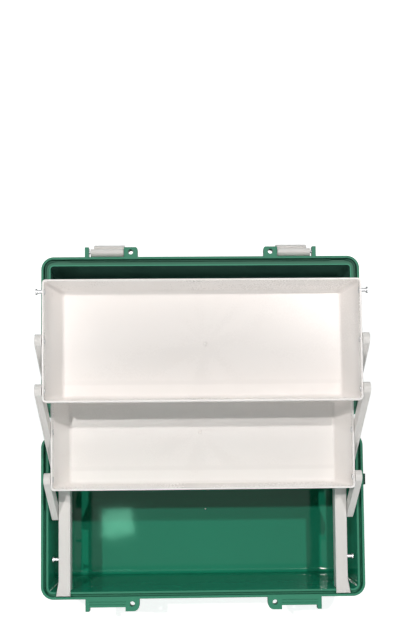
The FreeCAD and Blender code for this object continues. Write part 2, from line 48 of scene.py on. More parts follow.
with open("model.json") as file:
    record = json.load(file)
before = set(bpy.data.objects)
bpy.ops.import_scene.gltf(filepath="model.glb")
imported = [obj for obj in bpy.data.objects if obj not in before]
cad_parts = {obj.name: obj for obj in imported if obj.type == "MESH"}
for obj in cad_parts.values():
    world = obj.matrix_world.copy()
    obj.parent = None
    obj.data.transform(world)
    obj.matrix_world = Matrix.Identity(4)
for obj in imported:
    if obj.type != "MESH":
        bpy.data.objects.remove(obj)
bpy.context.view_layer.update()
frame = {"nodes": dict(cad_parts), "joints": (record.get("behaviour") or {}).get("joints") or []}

MM = 0.001
ENDS = ("left", "right")
SIDES = (1, -1)


# ---- places and sizes of the box -------------------------------------------------------------
def joint_place(name):
    """Where a joint's axis passes, in metres."""
    for joint in frame["joints"]:
        if joint["name"] == name:
            return Vector(joint["pos_m"])
    raise RuntimeError("no joint named " + name)


LID_HINGE = joint_place("lid_hinge")
LID_TOP_SHUT = 2 * LID_HINGE.z
LID_MIDDLE = 2 * LID_HINGE.y             # of the open lid, front to back

RIM_GAP = 0.3 * MM                       # between the two rims when the box is shut
RIM_TOP = LID_HINGE.z - RIM_GAP / 2
RIM_HALF_LENGTH = -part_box("base_tub")[0].x
RIM_HALF_DEPTH = 96.0 * MM
RIM_CORNER = 15.0 * MM
RIM_END = RIM_HALF_LENGTH + 0.1 * MM     # only the side lug stands out past this

PANEL_WIDTH = 257.0 * MM                 # sunken panel in the top of the shut lid, for the scale
PANEL_DEPTH = 23.0 * MM
PANEL_BACK = 69.5 * MM                   # its rear edge, from the middle of the box
PANEL_SINK = 0.8 * MM


def laid_back():
    """The half turn about the hinges that takes a place on the shut lid to the open lid."""
    there = Matrix.Translation(LID_HINGE)
    return there @ Matrix.Rotation(math.pi, 4, "X") @ there.inverted()


# ---- settings --------------------------------------------------------------------------------
def linear(red, green, blue):
    """A colour given as it looks on a screen, 0 to 255, without the screen's curve."""
    def channel(value):
        share = value / 255
        if share <= 0.04045:
            return share / 12.92
        return ((share + 0.055) / 1.055) ** 2.4
    return (channel(red), channel(green), channel(blue))


def colour_setting(label, note, red, green, blue):
    """A colour, given as it looks on a screen, 0 to 255."""
    return FloatVectorProperty(name=label, description=note, subtype="COLOR", size=3, min=0.0, max=1.0,
                               default=linear(red, green, blue))


def share_setting(label, note, default):
    """A number from 0 to 1."""
    return FloatProperty(name=label, description=note, min=0.0, max=1.0, default=default)


def length_setting(label, note, default):
    """A length in metres."""
    return FloatProperty(name=label, description=note, subtype="DISTANCE", unit="LENGTH", default=default)


def power_setting(label, note, default):
    """The power of a lamp in watts."""
    return FloatProperty(name=label, description=note, unit="POWER", default=default)


def place_setting(label, note, default):
    """A place on the stage in metres."""
    return FloatVectorProperty(name=label, description=note, subtype="TRANSLATION", unit="LENGTH", size=3,
                               default=default)


def face_setting(label, note, default):
    """The width and height of a lamp's face in metres."""
    return FloatVectorProperty(name=label, description=note, unit="LENGTH", size=2, default=default)


class FinishSettings(bpy.types.PropertyGroup):
    """Colours and surface of the plastics and the steel."""

    green: colour_setting("Base inside", "Colour of the polished inside of the base", 31, 136, 106)
    # The lid's inside green is a greyer copy of the same plastic's green: painted shade, which the scale
    # panel takes too.
    lid_green: colour_setting("Lid inside", "Colour of the polished inside of the lid", 84, 126, 114)
    outer_green: colour_setting("Outside", "Colour of the grained outside of both shells", 54, 132, 104)
    white: colour_setting("Tray white", "Colour of the trays", 240, 236, 233)
    pale_grey: colour_setting("Pale grey", "Colour of the handle, catches, links and rails", 229, 227, 224)
    steel: colour_setting("Steel", "Colour of the pins and rivets", 204, 206, 208)
    outside_roughness: share_setting("Outside roughness", "Roughness of the grained outside", 0.48)
    inside_roughness: share_setting("Inside roughness", "Roughness of the polished inside", 0.065)
    tray_roughness: share_setting("Tray roughness", "Roughness of the trays' glossy white", 0.28)
    pale_roughness: share_setting("Pale roughness", "Roughness of the satin pale grey", 0.40)
    edge_round: length_setting("Edge rounding", "Radius at which moulded edges catch the light", 0.6 * MM)
    scatter: length_setting("Scatter", "How far light spreads inside the pale plastic", 2.5 * MM)


class MarkSettings(bpy.types.PropertyGroup):
    """The scale moulded in the lid and the gate marks on the floors."""

    scale_inches: IntProperty(
        name="Scale length",
        description="Number of inches on the lid's scale",
        min=1,
        max=10,
        default=9,
    )
    inch: length_setting("Inch", "Length of one numbered division", 25.4 * MM)
    mark_width: length_setting("Mark width", "Width of each raised line of the scale", 0.8 * MM)
    mark_height: length_setting("Mark height", "How far the scale stands above its panel", 0.5 * MM)
    digit_height: length_setting("Digit height", "Height of the scale's numbers", 5.2 * MM)
    gate_radius: length_setting("Gate radius", "Radius of the ring round a tray's gate mark", 2.2 * MM)


class HandleSettings(bpy.types.PropertyGroup):
    """Shape of the carrying handle."""

    arm_width: length_setting("Arm width", "Width of the handle's arms", 13.2 * MM)
    grip_depth: length_setting("Grip depth", "Front to back size of the grip at its ends", 14.2 * MM)
    grip_peak: length_setting("Grip peak", "Extra depth at the middle of the grip", 5.4 * MM)
    edge_round: length_setting("Edge rounding", "Rounding along the grip and arms", 2.4 * MM)
    step_height: length_setting("Step height", "Height of the raised field on its top", 0.6 * MM)


class StageSettings(bpy.types.PropertyGroup):
    """Camera, lamps and floor."""

    lamp_power: power_setting("Lamp power", "Power of the left lamp", 21.8)
    right_share: share_setting("Right share", "Power of the right lamp, as a share of the left's", 0.95)
    lamp_size: length_setting("Lamp size", "Diameter of each lamp's face", 0.06)
    left_lamp: place_setting("Left lamp", "Where the left lamp hangs", (-0.73, 0.50, 2.5))
    right_lamp: place_setting("Right lamp", "Where the right lamp hangs", (0.60, 0.735, 2.5))
    fill: share_setting("Fill", "Strength of the light from overhead", 0.15)
    side_fill: share_setting("Side fill", "Strength of the light from low down all round", 0.6)
    front_power: power_setting("Front power", "Power of the large soft lamp low in front", 15.0)
    front_size: face_setting("Front size", "Width and height of the soft lamp in front", (1.6, 0.7))
    front_place: place_setting("Front place", "Where the soft lamp in front stands", (0.0, -2.0, 1.2))
    window_power: power_setting("Window power", "Power of the small lamp that the floor mirrors", 0.0034)
    window_spread: FloatProperty(
        name="Window spread",
        description="How wide the light of the small lamp fans out",
        subtype="ANGLE",
        default=math.radians(14.0),
    )
    window_size: face_setting("Window size", "Width and height of the small lamp", (0.13, 0.11))
    window_place: place_setting("Window place", "Where the small lamp hangs", (-0.333, -0.24, 2.5))
    floor_glow: share_setting("Floor glow", "How much the floor under the box is lifted to white", 0.7)
    lens: FloatProperty(
        name="Lens",
        description="Focal length of the camera",
        unit="CAMERA",
        default=46.02,
    )


# ---- shader arithmetic -----------------------------------------------------------------------
class Wire:
    """A shader socket that takes part in plain arithmetic."""

    def __init__(self, wiring, socket):
        self.wiring = wiring
        self.socket = socket

    def combine(self, operation, first, second):
        return self.wiring.node("ShaderNodeMath", {"operation": operation}, {0: first, 1: second})

    def __add__(self, other):
        return self.combine("ADD", self, other)

    def __radd__(self, other):
        return self.combine("ADD", other, self)

    def __sub__(self, other):
        return self.combine("SUBTRACT", self, other)

    def __rsub__(self, other):
        return self.combine("SUBTRACT", other, self)

    def __mul__(self, other):
        return self.combine("MULTIPLY", self, other)

    def __rmul__(self, other):
        return self.combine("MULTIPLY", other, self)

    def __gt__(self, other):
        return self.combine("GREATER_THAN", self, other)

    def __lt__(self, other):
        return self.combine("LESS_THAN", self, other)


class Wiring:
    """A material or world that is being wired up."""

    def __init__(self, owner):
        owner.use_nodes = True
        self.tree = owner.node_tree
        self.tree.nodes.clear()

    def node(self, kind, settings=None, inputs=None, output=0):
        """Adds a node: its settings come first, then the values or links of its sockets."""
        made = self.tree.nodes.new(kind)
        for name, value in (settings or {}).items():
            setattr(made, name, value)
        for name, value in (inputs or {}).items():
            socket = made.inputs[name]
            if isinstance(value, Wire):
                self.tree.links.new(value.socket, socket)
            else:
                socket.default_value = value
        return Wire(self, made.outputs[output]) if len(made.outputs) else None

    def parts(self, vector):
        """The x, y and z of a vector."""
        split = self.node("ShaderNodeSeparateXYZ", {}, {0: vector})
        return [Wire(self, output) for output in split.socket.node.outputs]

    def larger(self, first, second):
        return self.node("ShaderNodeMath", {"operation": "MAXIMUM"}, {0: first, 1: second})

    def root(self, value):
        return self.node("ShaderNodeMath", {"operation": "SQRT"}, {0: value})

    def vector_math(self, operation, inputs, output=0):
        return self.node("ShaderNodeVectorMath", {"operation": operation}, inputs, output)


class Finish(Wiring):
    """The material of one finish."""

    def __init__(self, name):
        self.material = bpy.data.materials.new(name)
        super().__init__(self.material)

    def place(self):
        """The place on the piece, in metres."""
        return self.node("ShaderNodeTexCoord", output="Object")

    def facing(self):
        """The way the surface faces, in the piece's own axes."""
        return self.node("ShaderNodeTexCoord", output="Normal")

    def noise(self, scale, detail, stretch=None):
        """Noise with features about 1 / scale metres across."""
        place = self.place()
        if stretch:
            place = self.node("ShaderNodeMapping", {}, {"Vector": place, "Scale": stretch})
        return self.noise_at(place, scale, detail)

    def noise_at(self, place, scale, detail):
        """Noise that is read at the given places."""
        return self.node("ShaderNodeTexNoise", {"noise_dimensions": "3D"},
                         {"Vector": place, "Scale": scale, "Detail": detail}, "Fac")

    def ramp(self, value, foot, top):
        """A smooth rise from 0 where the value is at the foot to 1 at the top."""
        return self.node("ShaderNodeMapRange", {"interpolation_type": "SMOOTHSTEP"},
                         {"Value": value, "From Min": foot, "From Max": top}, "Result")

    def mix_colours(self, share, first, second):
        settings = {"data_type": "RGBA", "blend_type": "MIX"}
        return self.node("ShaderNodeMix", settings,
                         {"Factor": share, 6: as_colour(first), 7: as_colour(second)}, 2)

    def bump(self, height, distance, normal):
        inputs = {"Strength": 1.0, "Distance": distance, "Height": height, "Normal": normal}
        return self.node("ShaderNodeBump", {}, inputs)

    def round_edges(self, radius):
        return self.node("ShaderNodeBevel", {"samples": EDGE_SAMPLES}, {"Radius": radius})

    def surface(self, inputs):
        """Ends the material in one shader."""
        shader = self.node("ShaderNodeBsdfPrincipled", {}, inputs)
        self.node("ShaderNodeOutputMaterial", {"target": "ALL"}, {"Surface": shader})
        return self.material


def as_colour(value):
    if isinstance(value, Wire):
        return value
    return (value[0], value[1], value[2], 1.0)


def shade(colour, factor):
    return tuple(min(1.0, channel * factor) for channel in colour[:3])


def tones(colour, factors):
    """The darkest and the lightest tone of a material."""
    return [shade(colour, factor) for factor in factors]


def give(node_name, material):
    """Puts a finish on a piece of the frame."""
    piece = frame["nodes"][node_name]
    piece.data.materials.clear()
    piece.data.materials.append(material)


def finish_named(name):
    material = bpy.data.materials.get(name)
    if material is None:
        raise RuntimeError("the finish " + name + " isn't made yet")
    return material


EDGE_SAMPLES = 6         # for each rounded edge that only the finish shows
PLASTIC_SHINE = 0.25     # specular level of every plastic


# ---- green shells ----------------------------------------------------------------------------
SHELL_CLOUD = (9.0, 3.0)          # noises, each as its features per metre and its detail
SHELL_SPECK = (700.0, 2.0)
SHELL_GRAIN = (1100.0, 3.0)
SHELL_RIPPLE = (26.0, 1.0)
SHELL_TONES = (0.90, 1.10)
CLOUD_SHARE = 0.6                 # of the mottling; the rest is speck
CLOUD_ROUGHNESS = 0.08
RIPPLE_HEIGHT = 0.12 * MM
GRAIN_HEIGHT = 0.05 * MM
LUG_PAINTED_SHADE = 0.14                   # painted shade: the side lug is far darker than the rest of the base
WALL_DISTANCE = 20 * MM           # a wall that faces the middle from further away is inside
LOOKS_UP = 0.3                    # least upward part of the normal on a floor or its rounded edge
FLOOR_DROP = 12 * MM              # floors lie further than this below the rim
LIP_LEVEL = 0.9                   # least upward part of the normal on the lid's lip
LIP_DROP = 1.0 * MM               # the lip lies no further than this below the rim

# Painted shade and a painted highlight in bands on the lid's inner lip, by the distance in from the
# outline of the rim:
# where each fades in and out, how strong it is, and its tone.
LIP_PAINTED_LIGHT_BANDS = (
    ((4.6 * MM, 5.2 * MM), (7.9 * MM, 7.0 * MM), 0.7, 0.22),        # painted shadow beside the tongue
    ((7.0 * MM, 7.9 * MM), (10.4 * MM, 9.6 * MM), 0.6, 0.5),        # painted shade on the top of the lip
    ((9.8 * MM, 10.6 * MM), (20.0 * MM, 19.0 * MM), 0.6, 1.8),      # painted highlight on the inner edge
)


def within(finish, space):
    """1 inside a box given by two opposite corners, 0 outside it."""
    share = 1.0
    for axis, low, high in zip(finish.parts(finish.place()), *space):
        share = share * (axis > low) * (axis < high)
    return share


def scale_panel():
    """Two opposite corners of a thin box round the face of the lid's sunken panel, on the open lid."""
    shut = [Vector((-PANEL_WIDTH / 2, PANEL_BACK - PANEL_DEPTH, LID_TOP_SHUT - 1.2 * PANEL_SINK)),
            Vector((PANEL_WIDTH / 2, PANEL_BACK, LID_TOP_SHUT - 0.6 * PANEL_SINK))]
    turned = [laid_back() @ corner for corner in shut]
    return [tuple(min(pair) for pair in zip(*turned)), tuple(max(pair) for pair in zip(*turned))]


def past(finish, value, limit):
    """How far a coordinate lies past a limit, on either side of the middle, or 0."""
    return finish.larger(finish.larger(value, 0.0 - value) - limit, 0.0)


def depth_in_rim(finish, x, y):
    """How far a place lies inside the outline of the rim, true as far in as its corner radius."""
    past_x = past(finish, x, RIM_HALF_LENGTH - RIM_CORNER)
    past_y = past(finish, y, RIM_HALF_DEPTH - RIM_CORNER)
    return RIM_CORNER - finish.root(past_x * past_x + past_y * past_y)


def lip_colour(finish, colour, green, depth, lip):
    """Paints shade and a highlight in bands on the lid's inner lip."""
    for fade_in, fade_out, strength, tone in LIP_PAINTED_LIGHT_BANDS:
        band = finish.ramp(depth, *fade_in) * finish.ramp(depth, *fade_out)
        colour = finish.mix_colours(lip * band * strength, colour, shade(green, tone))
    return colour


def shell_finish(name, settings, middle_y, inner_green, panel=None):
    """Moulded green plastic: grained outside, polished inside. The lid's has a polished panel too."""
    finish = Finish(name)
    x, y, z = finish.parts(finish.place())
    facing_x, facing_y, facing_z = finish.parts(finish.facing())
    wall_inside = facing_x * x + facing_y * (y - middle_y) < -WALL_DISTANCE
    floor_inside = (facing_z > LOOKS_UP) * (z < RIM_TOP - FLOOR_DROP)
    inside = finish.larger(wall_inside, floor_inside)
    if panel is not None:
        inside = finish.larger(inside, within(finish, panel))
    cloud = finish.noise(*SHELL_CLOUD)
    speck = finish.noise(*SHELL_SPECK)
    mottling = cloud * CLOUD_SHARE + speck * (1 - CLOUD_SHARE)
    polished = finish.mix_colours(mottling, *tones(inner_green, SHELL_TONES))
    matt = finish.mix_colours(mottling, *tones(settings.outer_green, SHELL_TONES))
    colour = finish.mix_colours(inside, matt, polished)
    # the side lug past the rim's end gets painted shade
    colour = finish.mix_colours(x > RIM_END, colour, shade(settings.green, LUG_PAINTED_SHADE))
    # the lid's inner lip gets painted shade and a painted highlight
    if panel is not None:
        lip = (z > RIM_TOP - LIP_DROP) * (facing_z > LIP_LEVEL)
        depth = depth_in_rim(finish, x, y - middle_y)
        colour = lip_colour(finish, colour, settings.outer_green, depth, lip)
    polish = settings.inside_roughness - settings.outside_roughness
    roughness = inside * polish + settings.outside_roughness + (cloud - 0.5) * CLOUD_ROUGHNESS
    rounded = finish.round_edges(settings.edge_round)
    waved = finish.bump(finish.noise(*SHELL_RIPPLE), RIPPLE_HEIGHT, rounded)
    grained = finish.bump(finish.noise(*SHELL_GRAIN) * (1 - inside), GRAIN_HEIGHT, waved)
    return finish.surface({"Base Color": colour, "Roughness": roughness, "Normal": grained,
                           "Specular IOR Level": PLASTIC_SHINE})


# ---- pale plastic ----------------------------------------------------------------------------
PALE_FLOW = (14.0, 3.0)           # noises, each as its features per metre and its detail
PALE_SPECK = (600.0, 2.0)
PALE_RIPPLE = (32.0, 1.0)
PALE_TONES = (0.965, 1.025)
FLOW_STRETCH = (0.35, 1.0, 1.0)   # flow lines run along the box
FLOW_ROUGHNESS = 0.12
SPECK_ROUGHNESS = 0.05
PALE_RIPPLE_HEIGHT = 0.10 * MM
PALE_GRAIN_HEIGHT = 0.012 * MM

FLOW_SHARE = 0.7                  # of the flow lines in a tray, beside its streaks and its painted front band of shade and light
PAINTED_BAND_SHARE = 0.3
FAN_STREAKS = (1.3, 1.0)
FAN_RISE = (2 * MM, 40 * MM)      # distances from the gate where the streaks come up and fade out
FAN_FADE = (90 * MM, 30 * MM)
PAINTED_SHADE_LINE = (38 * MM, 43 * MM)    # distances in front of the gate, of the painted shade line
# and of the painted strip of light
PAINTED_LIGHT_STRIP = (43 * MM, 46 * MM)
PAINTED_STRIP_STRENGTH = 1.6
FLOOR_LEVEL = 0.95                # least upward part of the normal on a tray's level floor

# The lower tray's white is painted a shade lighter than the upper's: painted light on the same plastic.
TRAY_PAINTED_LIGHT_TONES = {"tray_upper": 1.0, "tray_lower": 1.06}
# The gate marks are painted paler than the trays' white: partly a stress-whitened nub, partly a painted
# highlight.
GATE_HIGHLIGHT_TONE = 1.1

# Each gate: its place along the box and the thickness of its floor.
GATES = {
    "tray_upper": (3.4 * MM, 2.0 * MM),
    "tray_lower": (-3.0 * MM, 2.0 * MM),
    "base_tub": (4.7 * MM, 2.6 * MM),
}


def gate_place(node):
    """Where the melt entered a floor, on its upper face."""
    x, floor = GATES[node]
    low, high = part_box(node)
    y = (low.y + high.y) / 2 if node in TRAY_PAINTED_LIGHT_TONES else 0.0
    return (x, y, low.z + floor)


def gate_fan(finish, gate):
    """Streaks that the melt leaves round the gate, up to half above or below 0."""
    away = finish.vector_math("SUBTRACT", {0: finish.place(), 1: gate})
    flat = finish.vector_math("MULTIPLY", {0: away, 1: (1.0, 1.0, 0.0)})
    heading = finish.vector_math("NORMALIZE", {0: flat})
    distance = finish.vector_math("LENGTH", {0: flat}, "Value")
    streaks = finish.noise_at(heading, *FAN_STREAKS)
    return (streaks - 0.5) * finish.ramp(distance, *FAN_RISE) * finish.ramp(distance, *FAN_FADE)


def front_band(finish, gate):
    """Painted shade and light: a faint dark line across a tray's floor near its front wall, and a painted
    paler strip beyond.
    """
    ahead = gate[1] - finish.parts(finish.place())[1]
    level = finish.parts(finish.facing())[2] > FLOOR_LEVEL
    return (finish.ramp(ahead, *PAINTED_LIGHT_STRIP) * PAINTED_STRIP_STRENGTH - finish.ramp(ahead, *PAINTED_SHADE_LINE)) * level


def pale_finish(name, base, settings, roughness, gate=None, scatter=1.0):
    """Satin or glossy pale plastic with faint flow lines."""
    finish = Finish(name)
    flow = finish.noise(*PALE_FLOW, FLOW_STRETCH)
    if gate is not None:
        flow = flow * FLOW_SHARE + (1 - FLOW_SHARE) / 2
        # the front band adds painted shade and a painted strip of light
        flow = flow + gate_fan(finish, gate) + front_band(finish, gate) * PAINTED_BAND_SHARE
    speck = finish.noise(*PALE_SPECK)
    colour = finish.mix_colours(flow, *tones(base, PALE_TONES))
    rough = (flow - 0.5) * FLOW_ROUGHNESS + (speck - 0.5) * SPECK_ROUGHNESS + roughness
    rounded = finish.round_edges(settings.edge_round)
    waved = finish.bump(finish.noise(*PALE_RIPPLE), PALE_RIPPLE_HEIGHT, rounded)
    grained = finish.bump(speck, PALE_GRAIN_HEIGHT, waved)
    return finish.surface({"Base Color": colour, "Roughness": rough, "Normal": grained,
                           "Specular IOR Level": PLASTIC_SHINE, "Subsurface Weight": scatter,
                           "Subsurface Radius": (1.0, 1.0, 1.0), "Subsurface Scale": settings.scatter})


# ---- steel -----------------------------------------------------------------------------------
STEEL_TURNING = (260.0, 2.0)      # features per metre and detail
TURNING_STRETCH = (6.0, 1.0, 1.0)
STEEL_TONES = (0.85, 1.0)
STEEL_ROUGHNESS = 0.28
TURNING_ROUGHNESS = 0.16
TURNING_HEIGHT = 0.02 * MM
STEEL_EDGE = 0.3 * MM


def steel_finish(settings):
    """Bright wire and rivets with turning marks."""
    finish = Finish("bright_steel")
    turning = finish.noise(*STEEL_TURNING, TURNING_STRETCH)
    colour = finish.mix_colours(turning, *tones(settings.steel, STEEL_TONES))
    rough = turning * TURNING_ROUGHNESS + STEEL_ROUGHNESS
    scored = finish.bump(turning, TURNING_HEIGHT, finish.round_edges(STEEL_EDGE))
    return finish.surface({"Base Color": colour, "Roughness": rough, "Normal": scored, "Metallic": 1.0})


# ---- mesh helpers ----------------------------------------------------------------------------
TOUCH = 0.02 * MM                 # places closer than this are the same corner
SHARP = math.radians(35)          # edges sharper than this stay sharp
TOP_LEVEL = 0.99                  # least upward part of the normal on a level top
EDGE_STEPS = 5


def plate(mesh, points, height):
    """A flat face through a few corners."""
    corners = [mesh.verts.new((x, y, height)) for x, y in points]
    mesh.faces.new(corners)


def soften(mesh, spot, height, offset, segments):
    """Rounds the corner of a flat outline that lies at the given spot."""
    corner = Vector((spot[0], spot[1], height))
    chosen = [vertex for vertex in mesh.verts if (vertex.co - corner).length < TOUCH]
    bmesh.ops.bevel(mesh, geom=chosen, offset=offset, offset_type="OFFSET", segments=segments,
                    profile=0.5, affect="VERTICES", material=-1)


def round_loop(mesh, edges, offset, segments):
    bmesh.ops.bevel(mesh, geom=edges, offset=offset, offset_type="OFFSET", segments=segments,
                    profile=0.5, affect="EDGES", clamp_overlap=True, material=-1)


def mould(mesh, outline, corners, foot, top, rounding):
    """A solid of the given outline with rounded corners and edges. Gives back its upper face."""
    before = set(mesh.faces)
    plate(mesh, outline, foot)
    for spot, (size, segments) in corners.items():
        soften(mesh, spot, foot, size, segments)
    faces = [face for face in mesh.faces if face not in before]
    grown = bmesh.ops.extrude_face_region(mesh, geom=faces, use_keep_orig=True)
    raised = [item for item in grown["geom"] if isinstance(item, bmesh.types.BMVert)]
    bmesh.ops.translate(mesh, vec=(0.0, 0.0, top - foot), verts=raised)
    faces = [face for face in mesh.faces if face not in before]
    bmesh.ops.recalc_face_normals(mesh, faces=faces)
    levels = {edge for face in faces if len(face.verts) > 4 for edge in face.edges}
    round_loop(mesh, list(levels), rounding, EDGE_STEPS)
    upper = [face for face in mesh.faces if face not in before and face.normal.z > TOP_LEVEL]
    return max(upper, key=lambda face: face.calc_area())


def finish_piece(name, mesh, material, body, place=None):
    """Turns a bmesh into a piece that rides on a body."""
    if place is not None:
        bmesh.ops.transform(mesh, matrix=place, verts=mesh.verts)
    bmesh.ops.recalc_face_normals(mesh, faces=mesh.faces)
    data = bpy.data.meshes.new(name)
    mesh.to_mesh(data)
    mesh.free()
    data.materials.append(material)
    piece = bpy.data.objects.new(name, data)
    bpy.context.scene.collection.objects.link(piece)
    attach(piece, body)
    return piece


def smooth(piece):
    """Smooth shading that keeps sharp edges."""
    mesh = bmesh.new()
    mesh.from_mesh(piece.data)
    for face in mesh.faces:
        face.smooth = True
    for edge in mesh.edges:
        edge.smooth = len(edge.link_faces) == 2 and edge.calc_face_angle(0) < SHARP
    mesh.to_mesh(piece.data)
    mesh.free()


# ---- finishing the frame's pieces ------------------------------------------------------------
class FinishShells(bpy.types.Operator):
    """Give the base and lid their moulded green plastic"""

    bl_idname = "tackle_box.finish_shells"
    bl_label = "Finish the shells"

    def execute(self, context):
        settings = context.scene.tackle_finish
        base = shell_finish("green_plastic_base", settings, 0.0, settings.green)
        # the lid's greyer inside green is painted shade
        lid = shell_finish("green_plastic_lid", settings, LID_MIDDLE, settings.lid_green, scale_panel())
        give("base_tub", base)
        give("lid_shell", lid)
        return {"FINISHED"}


class FinishTrays(bpy.types.Operator):
    """Give the trays, links and rails their pale plastic"""

    bl_idname = "tackle_box.finish_trays"
    bl_label = "Finish the trays and links"

    def execute(self, context):
        settings = context.scene.tackle_finish
        grey = pale_finish("pale_grey_plastic", settings.pale_grey, settings, settings.pale_roughness)
        for tray, tone in TRAY_PAINTED_LIGHT_TONES.items():
            white = pale_finish("white_plastic_" + tray, shade(settings.white, tone), settings,
                                settings.tray_roughness, gate_place(tray))
            give(tray, white)
        pale_finish("gate_plastic", shade(settings.white, GATE_HIGHLIGHT_TONE), settings, settings.tray_roughness,
                    scatter=0.0)
        for end in ENDS:
            for piece in ("rail_", "latch_", "link_front_", "link_long_", "link_rear_"):
                give(piece + end, grey)
        return {"FINISHED"}


class FinishPins(bpy.types.Operator):
    """Give the pins and rivets their bright steel"""

    bl_idname = "tackle_box.finish_pins"
    bl_label = "Finish the pins and rivets"

    def execute(self, context):
        steel = steel_finish(context.scene.tackle_finish)
        pins = ("hinge_pin_", "latch_pin_", "rail_studs_", "lower_tray_studs_", "upper_tray_studs_")
        for end in ENDS:
            for pin in pins:
                give(pin + end, steel)
        return {"FINISHED"}


# ---- handle ----------------------------------------------------------------------------------
HANDLE_HALF = 57.5 * MM           # half its length, without the stub pins
HANDLE_TAIL = 6.0 * MM            # the arms reach this far past the pivot
TAPER_LENGTH = 7.5 * MM           # of the narrower end of each arm
TAPER_WIDTH = 2.0 * MM
GRIP_CORNER = (8.5 * MM, 8)       # corners of the outline, each as its radius and its steps
INNER_CORNER = (6.0 * MM, 6)
TAIL_CORNER = (3.3 * MM, 5)
STEP_INSET = 0.35 * MM            # level border round the raised field
STEP_SLOPE = 0.3 * MM

HORN_SINK = 0.3 * MM              # the horns lie this far inside the arms' two faces
HORN_EDGE = 1.1 * MM
HORN_STEPS = 4

# The curled horn at the end of an arm: how far each corner lies out from the arm's inner face and past
# its tail, and the corner's radius.
HORN = (
    (8.4 * MM, -1.5 * MM, 1.3 * MM),
    (3.6 * MM, 3.6 * MM, 3.4 * MM),
    (-5.0 * MM, 3.6 * MM, 1.6 * MM),
    (-5.4 * MM, 0.2 * MM, 1.4 * MM),
    (0.6 * MM, -TAPER_LENGTH, 3.0 * MM),
    (8.0 * MM, -TAPER_LENGTH, 1.3 * MM),
)

STUB_RADIUS = 2.5 * MM            # stub pins that the handle turns on
STUB_REACH = 4.6 * MM
STUB_ROOT = 3.0 * MM              # sunk in the arm


def handle_outline(sizes, front, tail):
    """The outline of the grip and arms on the shut lid, and how each of its corners is rounded."""
    inner = HANDLE_HALF - sizes.arm_width
    grip_back = front + sizes.grip_depth
    peak = grip_back + sizes.grip_peak
    side = [(HANDLE_HALF, tail), (inner + TAPER_WIDTH, tail), (inner, tail - TAPER_LENGTH),
            (inner, grip_back)]
    mirrored = [(-x, y) for x, y in reversed(side)]
    outline = [(HANDLE_HALF, front)] + side + [(0.0, peak)] + mirrored + [(-HANDLE_HALF, front)]
    corners = {(0.0, peak): INNER_CORNER}
    for sign in SIDES:
        corners[(sign * HANDLE_HALF, front)] = GRIP_CORNER
        corners[(sign * inner, grip_back)] = INNER_CORNER
        corners[(sign * HANDLE_HALF, tail)] = TAIL_CORNER
        corners[(sign * (inner + TAPER_WIDTH), tail)] = TAIL_CORNER
    return outline, corners


def add_horn(mesh, sign, inner, tail, foot, top):
    """The curled horn at the end of one arm."""
    spots = [(sign * (inner + out), tail + past_tail) for out, past_tail, radius in HORN]
    corners = {spot: (radius, HORN_STEPS) for spot, (out, past_tail, radius) in zip(spots, HORN)}
    mould(mesh, spots, corners, foot + HORN_SINK, top - HORN_SINK, HORN_EDGE)


def add_stub(mesh, sign, y, z):
    """The stub pin on the outside of one arm."""
    middle = HANDLE_HALF + (STUB_REACH - STUB_ROOT) / 2
    spot = Matrix.Translation((sign * middle, y, z)) @ Matrix.Rotation(math.pi / 2, 4, "Y")
    bmesh.ops.create_cone(mesh, cap_ends=True, segments=24, radius1=STUB_RADIUS, radius2=STUB_RADIUS,
                          depth=STUB_REACH + STUB_ROOT, matrix=spot)


class MakeHandle(bpy.types.Operator):
    """Make the moulded carrying handle that lies in the lid"""

    bl_idname = "tackle_box.make_handle"
    bl_label = "Make the handle"

    def execute(self, context):
        sizes = context.scene.tackle_handle
        low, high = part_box("handle")
        pivot = joint_place("handle_pivot")
        pivot_y = LID_MIDDLE - pivot.y
        front = LID_MIDDLE - high.y
        tail = pivot_y + HANDLE_TAIL
        foot = LID_TOP_SHUT - high.z
        field = LID_TOP_SHUT - low.z - sizes.step_height
        mesh = bmesh.new()
        outline, corners = handle_outline(sizes, front, tail)
        crown = mould(mesh, outline, corners, foot, field, sizes.edge_round)
        bmesh.ops.inset_region(mesh, faces=[crown], thickness=STEP_INSET, depth=0.0)
        bmesh.ops.inset_region(mesh, faces=[crown], thickness=STEP_SLOPE, depth=sizes.step_height)
        for sign in SIDES:
            add_horn(mesh, sign, HANDLE_HALF - sizes.arm_width, tail, foot, field)
        for sign in SIDES:
            add_stub(mesh, sign, pivot_y, LID_TOP_SHUT - pivot.z)
        grey = finish_named("pale_grey_plastic")
        piece = finish_piece("handle_moulding", mesh, grey, "handle", laid_back())
        smooth(piece)
        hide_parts("handle")
        return {"FINISHED"}


# ---- scale -----------------------------------------------------------------------------------
EIGHTHS = 8                       # lines to each inch
LINE_LENGTHS = {0: 9.5 * MM, 2: 6.0 * MM, 4: 7.6 * MM, 6: 6.0 * MM}     # inch, quarters and half
SHORT_LINE = 4.4 * MM             # at every other eighth
INCH_LINE_WIDTH = 1.25            # share of the other lines' width
BASELINE_INSET = 3.2 * MM         # from the panel's rear edge
NUMBER_DROP = 16.6 * MM           # from the baseline to the numbers' feet
TYPE_SIZE = 1.38                  # size of the type for a digit 1 high
MARK_ROOT = 0.1 * MM              # sunk in the panel
MARK_ROUND = 0.35                 # rounding of a line, as a share of its height
MARK_STEPS = 2


def raise_rib(mesh, x, y, width, length, foot, height):
    """A small raised bar with rounded upper edges."""
    size = Matrix.Diagonal((width, length, height + MARK_ROOT, 1.0))
    place = Matrix.Translation((x, y, foot + (height - MARK_ROOT) / 2))
    made = bmesh.ops.create_cube(mesh, size=1.0, matrix=place @ size)
    upper = set()
    for vertex in made["verts"]:
        for edge in vertex.link_edges:
            if all(end.co.z > foot for end in edge.verts):
                upper.add(edge)
    round_loop(mesh, list(upper), min(height, width) * MARK_ROUND, MARK_STEPS)


